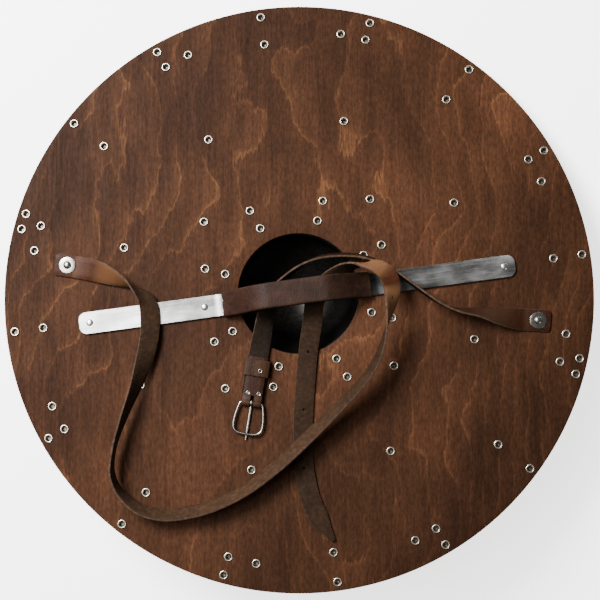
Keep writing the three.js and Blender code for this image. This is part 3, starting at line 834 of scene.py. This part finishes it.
def strap_leather(name, grain_dye_and_shade, flesh_dye_and_shade, pulled_tan):
    """Two leather faces darkened to a depth by dye, and by painted shade on the buckle strap: 1 is the
    palest. A tight bend goes tan.
    """
    mix = Finish(name, Specular_IOR_Level=0.06)
    distance, _, side = mix.lie()
    mottle = mix.cloud(mix.place, 26, 4, 0.6)
    fine = mix.cloud(mix.place, 190, 4, 0.65)
    grain = mix.ramp(mottle, [(0.3, "#2f1b12"), (0.5, "#3d2418"), (0.72, "#4c2f1f")])
    grain = mix.blend(0.3, grain, mix.ramp(fine, [(0.3, "#2a170f"), (0.7, "#53321f")]))
    bend = mix.node("Attribute", attribute_name="bend").outputs["Fac"]
    pulled = mix.ramp(bend, [(0.35, 0.0), (0.9, 1.0)])
    grain = mix.blend(pulled, mix.blend(1, grain, grain_dye_and_shade, "MULTIPLY"), pulled_tan)
    flesh = mix.ramp(mottle, [(0.3, "#1d140e"), (0.5, "#271c14"), (0.72, "#33261b")])
    fluff = mix.ramp(fine, [(0.28, "#17100b"), (0.5, "#271c14"), (0.74, "#3e2f22")])
    flesh = mix.blend(1, mix.blend(0.55, flesh, fluff), flesh_dye_and_shade, "MULTIPLY")
    flesh = mix.tinted(1, flesh, distance, FLESH_LIGHT_AND_SHADE)
    rim = mix.ramp(fine, [(0.25, "#201812"), (0.5, "#33261d"), (0.75, "#463529")])
    is_grain = mix.ramp(side, [(0.55, 0.0), (0.8, 1.0)])
    is_flesh = mix.ramp(mix.maths("MULTIPLY", side, -1), [(0.45, 0.0), (0.75, 1.0)])
    colour = mix.blend(is_flesh, mix.blend(is_grain, rim, grain), flesh)
    smooth = mix.ramp(fine, [(0.3, 0.38), (0.7, 0.55)])
    mix.coat(colour, mix.blend(is_grain, (0.8, 0.8, 0.8, 1), smooth))
    nap = mix.cloud(mix.place, 520, 3, 0.7)
    pores = mix.maths("MULTIPLY_ADD", mix.pebble(900), 0.5, fine)
    mix.raise_by(mix.blend(is_grain, nap, pores), 0.5, 0.0006)
    return mix.material


long_leather = strap_leather(
    "long strap leather", (0.47, 0.4, 0.34, 1), (0.78, 0.69, 0.6, 1),
    (0.078, 0.036, 0.016, 1),
)
# A darker copy for the buckle strap and its keeper: painted shade, as they lie in the shadow of the
# bar.
shaded_buckle_leather = strap_leather(
    "buckle strap leather with painted shade", (0.26, 0.23, 0.2, 1), (0.22, 0.235, 0.24, 1),
    (0.022, 0.01, 0.005, 1),
)

# %% [markdown]
# ## The straps
#
# The section is a flat oblong with the corners rubbed round, wider at the riveted end, where the
# knife has also clipped both corners of the strip. A little fixed noise keeps the cut edges from
# being perfectly straight.

# %% The strap section
STRAP_THICKNESS = 3
STRAP_WIDTH = 26
CLIPPED_CORNER = 3
WANDER = 0.35


def widening(value, start, start_width, end, end_width):
    """A width that changes evenly between two places."""
    share = min(max((value - start) / (end - start), 0), 1)
    return start_width + (end_width - start_width) * share


def clipped(distance, width):
    """The strap's width, less its clipped corners at the riveted end."""
    return width - 2 * max(CLIPPED_CORNER - distance, 0)


def strap_section(width, distance, seed):
    """A flat oblong: across, out and side, once round."""
    t = STRAP_THICKNESS / 2
    edge = [
        (0.9, t - 0.05, 1), (0.25, t - 0.4, 0.5), (0, t - 1, 0), (0, -t + 0.8, 0),
        (0.2, -t + 0.3, -0.4), (0.7, -t + 0.05, -1),
    ]
    right = width / 2 + WANDER * noise.noise(Vector((distance / 26, seed, 0)))
    left = -width / 2 + WANDER * noise.noise(Vector((distance / 26, seed + 5, 0)))
    top = t + 0.12 * noise.noise(Vector((distance / 60, seed + 9, 0)))
    return (
        [(left / 2, top, 1), (0, top, 1), (right / 2, top, 1)]
        + [(right - v, g, side) for v, g, side in edge]
        + [(right / 2, -t, -1), (0, -t, -1), (left / 2, -t, -1)]
        + [(left + v, g, side) for v, g, side in reversed(edge)]
    )


# %% The long strap
LONG_ANCHOR = Vector((-313.8, 39.6, 0))
TAIL_POINT = 34
TAIL_TIP_WIDTH = 5
PUNCH_RADIUS = 1.9
PUNCH_REACH = 4.5
PUNCH_FROM_TIP = 106
PUNCH_PITCH = 77
PUNCH_COUNT = 6
RIVET_BORE = 3.3


def long_width(distance):
    """Narrows from the riveted end, then to the pointed tail."""
    tail = long_length - TAIL_POINT
    if distance > tail:
        return widening(distance, tail, STRAP_WIDTH, long_length, TAIL_TIP_WIDTH)
    return clipped(distance, widening(distance, 45, 31, 110, STRAP_WIDTH))


def punch_at(distance):
    """A round cutter through the long strap at a distance along it."""
    _, centre, across, out = min(long_stations, key=lambda s: abs(s[0] - distance))
    shape = bore_at((0, 0), PUNCH_RADIUS, -PUNCH_REACH, PUNCH_REACH)
    return set_at(shape, centre, across, across.cross(out), out)


long_shape = swept(long_stations, lambda s: strap_section(long_width(s), s, 1))
long_strap = finished("strap_long", long_shape, [long_leather], ["long_strap"])
punches = [punch_at(long_length - PUNCH_FROM_TIP - PUNCH_PITCH * i) for i in range(PUNCH_COUNT)]
cut(long_strap, gathered([*punches, bore_at(LONG_ANCHOR, RIVET_BORE, -3, 9)]))

# %% [markdown]
# ## The buckle strap and its fold
#
# At the buckle the strap turns round the heel bar and lies back on itself. The fold is the same
# sweep: the route is carried on round a small eye and back, always with the grain outside. A slot
# through the fold lets the prong through.

# %% Places at the buckle
HEEL = Vector((-63.1, -148.1, 5.85))
HEEL_ALONG = Vector((-0.161, -0.987, 0)).normalized()
HEEL_ACROSS = UP.cross(HEEL_ALONG)
WIRE_RADIUS = 1.75
EYE_RADIUS = WIRE_RADIUS + 0.45
LAYER = 0.15 + STRAP_THICKNESS / 2
BUCKLE_ANCHOR = Vector((323, -38.7, 0))


def at_heel(x, y, z):
    """A point by its distance past the heel bar, across it and above it."""
    return HEEL + HEEL_ALONG * x + HEEL_ACROSS * y + UP * z


eye_turn = EYE_RADIUS + STRAP_THICKNESS / 2
fold_line = (
    [(-10, -LAYER), (-8, -LAYER), (-5, -LAYER - 0.6)]
    + arc((0, 0), eye_turn, -118, 118, 16)
    + [(-5, LAYER + 0.6), (-8, LAYER), (-10, LAYER)]
    + [(-14 - 3 * i, LAYER) for i in range(17)]
)
fold_spots = [at_heel(x, 0, z) for x, z in fold_line]
marks = [buckle_length]
for before, spot in zip([buckle_stations[-1][1], *fold_spots], fold_spots):
    marks.append(marks[-1] + (spot - before).length)
fold_stations = stations_along(fold_spots, -HEEL_ACROSS, marks[1:])
print("folded part:", round(marks[-1] - buckle_length), "mm")


def buckle_width(distance):
    """Narrows from the riveted end, and bulges a little before the fold."""
    near_fold = buckle_length - 60
    if distance > buckle_length - 2:
        return widening(distance, buckle_length - 2, 28, buckle_length + 6, STRAP_WIDTH)
    if distance > near_fold:
        return widening(distance, near_fold, STRAP_WIDTH, near_fold + 20, 28)
    return clipped(distance, widening(distance, 40, 30, 90, STRAP_WIDTH))


# %% The buckle strap
KEEPER_RIVET = at_heel(-44, 5.3, 0)
FOLD_RIVETS = [at_heel(-13, -6.4, 0), at_heel(-13, 8.2, 0)]
SMALL_BORE = 1.8
SLOT_SIZE = (20, 5, 30)

buckle_shape = swept(
    buckle_stations + fold_stations, lambda s: strap_section(buckle_width(s), s, 3)
)
buckle_strap = finished(
    "strap_buckle", buckle_shape, [shaded_buckle_leather], ["buckle_strap"]
)
slot = bmesh.new()
bmesh.ops.create_cube(slot, size=1)
bmesh.ops.scale(slot, vec=SLOT_SIZE, verts=slot.verts)
set_at(slot, HEEL, HEEL_ALONG, HEEL_ACROSS, UP)
small_bores = [bore_at(spot, SMALL_BORE, 0.2, 20) for spot in (KEEPER_RIVET, *FOLD_RIVETS)]
cut(buckle_strap, gathered([slot, *small_bores, bore_at(BUCKLE_ANCHOR, RIVET_BORE, -3, 9)]))

# %% [markdown]
# ## The keeper
#
# A strip of the same leather goes round both layers and its ends lap on top, under one rivet. The
# section is swept round a rounded oblong path, and the lap rides up over its start. The lap's end
# is skived: cut to a thin slope, so that it doesn't catch.

# %% The keeper
KEEPER_WIDTH = 22
KEEPER_SHEET = 2
KEEPER_MIDDLE = -47
KEEPER_SHIFT = -0.4
KEEPER_HALF = 15.5 + KEEPER_SHEET / 2
KEEPER_RISE = LAYER + STRAP_THICKNESS / 2 + 0.3 + KEEPER_SHEET / 2
LAP_START = -4.5
SKIVED = 0.8
KEEPER_CORNER = 2.2
LAP = [(LAP_START, 1.8), (0, 1.8), (6, 1.7), (11, 1.3), (14.5, 0.2), (KEEPER_HALF - 0.4, -1.8)]


def mirrored(half):
    """A section's right half, from top middle to bottom middle, with its mirror image."""
    return half + [(-v, g, side) for v, g, side in half[-2:0:-1]]


def keeper_section(half_sheet, width):
    """A thin oblong with eased corners."""
    t, w = half_sheet, width / 2
    return mirrored([
        (0, t, 1), (w - 0.5, t, 1), (w, t - 0.5, 0), (w, -t + 0.4, 0), (w - 0.5, -t, -1), (0, -t, -1),
    ])


def round_keeper(path, across, pace):
    """Stations along a path of places across and above the strap."""
    spots = [at_heel(KEEPER_MIDDLE, y + KEEPER_SHIFT, z) for y, z in path]
    return stations_along(spots, across, [pace * i for i in range(len(path))])


side, level = KEEPER_HALF - KEEPER_CORNER, KEEPER_RISE - KEEPER_CORNER
keeper_path = (
    [(LAP_START, KEEPER_RISE)]
    + arc((-side, level), KEEPER_CORNER, 90, 180, 6)
    + arc((-side, -level), KEEPER_CORNER, 180, 270, 6)
    + [(0, -KEEPER_RISE)]
    + arc((side, -level), KEEPER_CORNER, -90, 0, 6)
    + arc((side, level), KEEPER_CORNER, 0, 90, 6)
    + [(6, KEEPER_RISE), (2, KEEPER_RISE), (LAP_START + 0.4, KEEPER_RISE)]
)
strip = keeper_section(KEEPER_SHEET / 2, KEEPER_WIDTH)
keeper_shape = swept(round_keeper(keeper_path, HEEL_ALONG, 3)[:-1], lambda s: strip)
lap_stations = round_keeper([(y, KEEPER_RISE + z) for y, z in LAP], -HEEL_ALONG, 4)
mark, spot, across, out = lap_stations[0]
lap_stations[0] = (mark, spot, across, out + SKIVED * HEEL_ACROSS)
lap_strip = keeper_section(KEEPER_SHEET / 2 - 0.2, KEEPER_WIDTH - 0.6)
swept(lap_stations, lambda s: lap_strip, keeper_shape)
finished("leather_keeper", keeper_shape, [shaded_buckle_leather], ["strap_keeper"])

# %% [markdown]
# ## The bar
#
# One flat strip of steel, bent so that it rises over the hand hole and comes down again. It is
# swept along its own middle line, with a thin bevel on all four long edges, and the ends are
# rounded in plan by narrowing the section over the last ten millimetres.

# %% The bar
BAR_END = 595 / 2
BAR_WIDTH = 30
BAR_THICKNESS = 4
BAR_CORNER = 10
BAR_BEVEL = 0.45
ARCH_HEIGHT = 38
ARCH_HALF = 112
ARCH_RAMP = 75
GAP = 0.3
BAR_ALONG = Vector((math.cos(BAR_TURN), math.sin(BAR_TURN), 0))
BAR_ACROSS = Vector((-math.sin(BAR_TURN), math.cos(BAR_TURN), 0))


def arch(u):
    """Height of the bar's middle line above the board."""
    t = min(max((ARCH_HALF - abs(u)) / ARCH_RAMP, 0), 1)
    return GAP + BAR_THICKNESS / 2 + ARCH_HEIGHT * t * t * (3 - 2 * t)


def bar_station(u):
    """The bar's middle line and directions at u along it."""
    slope = math.atan((arch(u + 0.01) - arch(u - 0.01)) / 0.02)
    out = UP * math.cos(slope) - BAR_ALONG * math.sin(slope)
    return (u, BAR_CENTRE + BAR_ALONG * u + Vector((0, 0, arch(u))), BAR_ACROSS, out)


def bar_section(u):
    """A bevelled oblong that narrows towards the rounded ends."""
    short = max(abs(u) - (BAR_END - BAR_CORNER), 0)
    w = BAR_WIDTH / 2 - BAR_CORNER + math.sqrt(max(BAR_CORNER ** 2 - short ** 2, 0.01))
    t, b = BAR_THICKNESS / 2, BAR_BEVEL
    return mirrored([
        (0, t, 1), (w / 2, t, 1), (w - b, t, 1), (w, t - b, 0), (w, -t + b, 0), (w - b, -t, -1),
        (0, -t, -1),
    ])


middle = [3 * i for i in range(-38, 39)]
tip = [BAR_END - BAR_CORNER + BAR_CORNER * math.sin(math.radians(a)) for a in range(0, 90, 9)]
outer_marks = [150, 200, 250, *tip, BAR_END]
bar_marks = sorted([-u for u in outer_marks] + middle + outer_marks)
bar_shape = swept([bar_station(u) for u in bar_marks], bar_section)
finished("steel_grip_bar", bar_shape, [brushed_bar()], ["grip_bar"], crease=25)

# %% [markdown]
# ## The sleeve
#
# The grip is a piece of thinner leather closed tight round the bar. It is a tube with open ends:
# the section runs along the outside, turns in over the cut end and comes back inside. The knife
# strayed a little at both ends and left a notch in the left one. Along the bar the brown goes from
# a redder tone at the left to a greyer one at the right: painted light and shade.

# %% The sleeve leather
def sleeve_leather():
    """Worn leather, creased across, whose brown changes along the bar."""
    mix = Finish("sleeve leather", Specular_IOR_Level=0.07)
    along, _, _ = mix.lie()
    mottle = mix.cloud(mix.place, 38, 5, 0.65)
    fine = mix.cloud(mix.place, 210, 4, 0.65)
    creases = mix.cloud(mix.stretched(mix.place, (90, 20, 20)), 1, 4, 0.6, 0.8)
    # Painted light and shade along the bar: a redder brown at the left, a greyer one at the right.
    left = mix.ramp(mottle, [(0.3, "#190d08"), (0.55, "#24140d"), (0.75, "#2f1c13")])
    right = mix.ramp(mottle, [(0.3, "#160d08"), (0.55, "#21150f"), (0.75, "#312117")])
    share = mix.ramp(mix.maths("MULTIPLY_ADD", along, 5, 0.5), [(0.15, 0.0), (0.95, 1.0)])
    colour = mix.tinted(0.35, mix.blend(share, left, right), fine, [(0.3, 0.45), (0.65, 1.0)])
    mix.coat(colour, mix.ramp(fine, [(0.3, 0.4), (0.7, 0.6)]))
    pores = mix.maths("MULTIPLY_ADD", mix.pebble(800), 0.4, fine)
    mix.raise_by(mix.maths("MULTIPLY_ADD", creases, 1.2, pores), 0.45, 0.0006)
    return mix.material


# %% The sleeve's shape
SLEEVE_START = -100
SLEEVE_END = 98
SLEEVE_SHEET = 2
SLEEVE_STEPS = 66


def oblong(half_width, half_height, corner, side, between_corners=0):
    """A rounded oblong, once round, with extra points along its two long sides."""
    rows = []
    for sx, sy, start in ((1, 1, 90), (1, -1, 0), (-1, -1, -90), (-1, 1, -180)):
        centre = (sx * (half_width - corner), sy * (half_height - corner))
        rows += [(x, y, side) for x, y in arc(centre, corner, start, start - 90, 4)]
        if sx == sy:
            continue
        flat = half_width - corner
        for k in range(1, between_corners + 1):
            x = sx * flat * (1 - 2 * k / (between_corners + 1))
            rows.append((x, sy * half_height, side))
    return rows


def sleeve_section(inside, u):
    """The sleeve's outline at u along the bar, outside or inside its wall."""
    swell = 0.25 * noise.noise(Vector((u / 30, 0, 7)))
    half = BAR_WIDTH / 2 + GAP
    rise = BAR_THICKNESS / 2 + GAP
    if inside:
        return oblong(half, rise, 0.8, 0, 11)
    return oblong(half + SLEEVE_SHEET + swell, rise + SLEEVE_SHEET + swell / 2, 2.4, 1, 11)


def ragged(v, end):
    """How far the knife strayed from a straight cut, v across the bar."""
    stray = 0.6 * noise.noise(Vector((v / 5, end, 3)))
    notch = 2.4 * max(0, 1 - abs(v - 5.5) / 3)
    return stray + notch if end < 0 else stray


sleeve_length = SLEEVE_END - SLEEVE_START
sleeve_marks = [
    SLEEVE_START + sleeve_length * i / SLEEVE_STEPS for i in range(SLEEVE_STEPS + 1)
]
walls = [(u, False) for u in sleeve_marks] + [(u, True) for u in reversed(sleeve_marks)]
sleeve_shape = swept(
    [(i, *bar_station(u)[1:]) for i, (u, inside) in enumerate(walls)],
    lambda i: sleeve_section(walls[i][1], walls[i][0]),
    ring=True,
)
lie = sleeve_shape.verts.layers.float_vector["lie"]
for vertex in sleeve_shape.verts:
    u = walls[round(vertex[lie].x / MM)][0]
    v = vertex[lie].y / MM
    if u in (SLEEVE_START, SLEEVE_END):
        vertex.co += BAR_ALONG * ragged(v, u)
    vertex[lie] = (u * MM, v * MM, vertex[lie].z)
finished("leather_sleeve", sleeve_shape, [sleeve_leather()], ["grip_wrap"])

# %% [markdown]
# ## Tubular rivets
#
# A tubular rivet is pushed in from the face and its open end is rolled over on the hand side. It
# shows there as a bright ring round a dark hole; on the face it is a low dome. The profile runs
# from the bottom of the mouth, over the rolled lip, down the shank and across the dome. Faces
# inside the mouth get the painted shade of the hollow.

# %% The tubular rivets
RIVET_RING = 5.75
RIVET_SHANK = 3.4
LIP_INSIDE = 4.3
LIP_TOP = 1.6


def darkened_inside(shape, radius, low):
    """Gives the faces inside a mouth the second finish, the painted shade."""
    for face in shape.faces:
        middle = face.calc_center_median()
        face.material_index = int(middle.xy.length < radius and middle.z > low)
    return shape


def face_head(under):
    """The low dome that a rivet shows on the face, from its rim to its middle."""
    dome = [(6, 0), (5.7, -0.5), (4.4, -1.2), (2.4, -1.55), (0, -1.65)]
    return [(radius, under + height) for radius, height in dome]


def tubular(under):
    """One rivet at the zero; under is where its face head meets the work."""
    shape = turned(
        [(0, -5.2), (2.2, -5), (2.7, -4.2), (2.8, -0.4), (3.2, 0.5), (LIP_INSIDE - 0.15, 0.95)]
        + arc((LIP_INSIDE + 0.4, LIP_TOP - 0.4), 0.4, 180, 90, 3)
        + arc((RIVET_RING - 0.7, LIP_TOP - 0.7), 0.7, 90, 0, 3)
        + [(RIVET_RING, 0.35), (RIVET_RING - 0.2, 0.02), (RIVET_SHANK, 0.02), (RIVET_SHANK, -6.2)]
        + [(RIVET_SHANK, under), *face_head(under)],
        24,
    )
    # The faces inside the mouth get painted shade.
    return darkened_inside(shape, LIP_INSIDE - 0.05, -5.3)


placed = []
for ring, place in rivet_places:
    under = FLANGE_BACK - SHEET - 0.05 if ring == "a" else -BOARD_THICKNESS - 0.02
    rivet = tubular(under)
    bmesh.ops.translate(rivet, verts=rivet.verts, vec=place)
    placed.append(rivet)
packed_rivets = [f"rivet_{r}_{i + 1}" for r in "abcdefh" for i in range(len(RINGS[r][1]))]
finished(
    "tubular_rivets", gathered(placed), [rivet_finish, mouth_shade_finish],
    packed_rivets, crease=50,
)

# %% [markdown]
# ## Solid rivets and washers
#
# The bar is held by four rivets with low heads, and each strap's end by a domed rivet over a
# washer, which keeps the head from pulling through the leather.

# %% The solid rivets
BAR_RIVET_MARKS = (-283, -126, 126, 283)
STRAP_TOP = 2 + STRAP_THICKNESS / 2


def solid_rivet(place, seat, radius, height):
    """A domed head on its seat, a shank through the board, and a low head on the face."""
    low = -BOARD_THICKNESS - 0.02
    dome = [
        (r, seat + 0.1 + (height - 0.1) * rise / radius)
        for r, rise in arc((0, 0), radius, 10, 74, 4)
    ]
    return turned(
        face_head(low)[::-1]
        + [(3, low), (3, seat), (radius, seat + 0.05), *dome, (0, seat + height)],
        32, place,
    )


bar_rivets = gathered(
    solid_rivet(BAR_CENTRE + BAR_ALONG * u, GAP + BAR_THICKNESS, 4.7, 1.7)
    for u in BAR_RIVET_MARKS
)
packed_rivets = [f"bar_rivet_{i}" for i in (1, 2, 3, 4)]
finished("bar_rivets", bar_rivets, [bright_rivet], packed_rivets)

# %% The washers and the domed rivets
for name, spot in (("long_strap", LONG_ANCHOR), ("buckle_strap", BUCKLE_ANCHOR)):
    washer = turned(
        [(3.4, STRAP_TOP + 0.05), (11.3, STRAP_TOP + 0.05)]
        + arc((10.9, STRAP_TOP + 0.9), 0.4, 0, 90, 3)
        + [(6.5, STRAP_TOP + 1.45), (3.4, STRAP_TOP + 1.5), (3.4, STRAP_TOP + 0.05)],
        48, spot,
    )
    finished(f"{name}_round_washer", washer, [dull_steel], [f"{name}_washer"])
    rivet = solid_rivet(spot, STRAP_TOP + 1.5, 5.5, 3.1)
    finished(f"{name}_domed_rivet", rivet, [dull_steel], [f"{name}_rivet"])

# %% The small rivets of the buckle strap
small_tops = [
    ("keeper_small_rivet", "keeper_rivet", KEEPER_RIVET, HEEL.z + KEEPER_RISE + 2.6),
    ("fold_left_rivet", "fold_rivet_1", FOLD_RIVETS[0], HEEL.z + LAYER + 1.5),
    ("fold_right_rivet", "fold_rivet_2", FOLD_RIVETS[1], HEEL.z + LAYER + 1.5),
]
for name, packed, spot, top in small_tops:
    if packed == "keeper_rivet":
        foot = [(0, 0.6), (1.5, 0.6)]
    else:
        low = HEEL.z - LAYER - 1.5
        foot = [(0, low - 1.1), (3, low - 1.0), (3, low - 0.1), (1.5, low)]
    rivet = turned(
        foot
        + [(1.5, top + 0.05), (3.1, top + 0.05)]
        + arc((2.4, top + 0.4), 0.7, 0, 180, 8)
        + [(1.65, top - 0.5), (0, top - 0.8)],
        20,
    )
    # The middle of each small rivet gets painted shade.
    darkened_inside(rivet, 1.7, top - 1)
    bmesh.ops.translate(rivet, verts=rivet.verts, vec=(spot.x, spot.y, 0))
    finished(name, rivet, [dull_steel, mouth_shade_finish], [packed])

# %% [markdown]
# ## The buckle
#
# The frame is one length of round wire bent to shape, straight at the heel bar and wider towards
# the front. The prong is a flatter wire whose end is rolled round the heel bar. Both swing on
# that bar, so they ride on the buckle's own body.

# %% The frame
def closed_curve(points, per_span):
    """A smooth closed line through points."""
    count, line = len(points), []
    for i in range(count):
        four = [points[(i + k) % count] for k in (-1, 0, 1, 2)]
        line += [between(*four, k / per_span) for k in range(per_span)]
    return line


half_frame = [
    (0, 0), (0, 7), (0, 12.4), (0.7, 14.3), (2.6, 15.6), (8, 17), (18, 18.9), (29, 19.6),
    (36, 18.4), (40, 14.6), (41.6, 8),
]
frame_outline = half_frame + [(42, 0)] + [(x, -y) for x, y in reversed(half_frame[1:])]
wire_line = closed_curve([at_heel(x, y, 0) for x, y in frame_outline], 5)
wire_stations = []
for i, spot in enumerate(wire_line):
    along = (wire_line[(i + 1) % len(wire_line)] - wire_line[i - 1]).normalized()
    wire_stations.append((i, spot, along.cross(UP), UP))
wire_ring = [(v, g, 1) for v, g in arc((0, 0), WIRE_RADIUS, 0, 330, 11)]
frame_shape = swept(wire_stations, lambda s: wire_ring, ring=True)
finished(
    "wire_buckle_frame", frame_shape, [dull_steel], ["buckle_frame"],
    body="buckle", crease=60,
)

# %% The prong
PRONG_WIDTH = 3.4
PRONG_THICKNESS = 2.6
PRONG_LENGTH = 50
prong_roll = WIRE_RADIUS + 0.35 + PRONG_THICKNESS / 2
prong_path = arc((0, 0), prong_roll, -30, 270, 20)
prong_path += [(x, -prong_roll) for x in (4, 10, 18, 26, 34, 40, 44, 47, 49, PRONG_LENGTH)]
prong_spots = [at_heel(x, 0, z) for x, z in prong_path]
prong_stations = stations_along(prong_spots, HEEL_ACROSS, range(len(prong_path)))


def prong_section(i):
    """A flat wire that thins over its last twelve millimetres."""
    thin = 1 - 0.45 * max((prong_path[i][0] - 38) / 12, 0)
    return oblong(PRONG_WIDTH / 2 * thin, PRONG_THICKNESS / 2 * thin, 0.9 * thin, 1)


finished(
    "flat_prong", swept(prong_stations, prong_section), [dull_steel],
    ["buckle_prong"], body="buckle", crease=50,
)
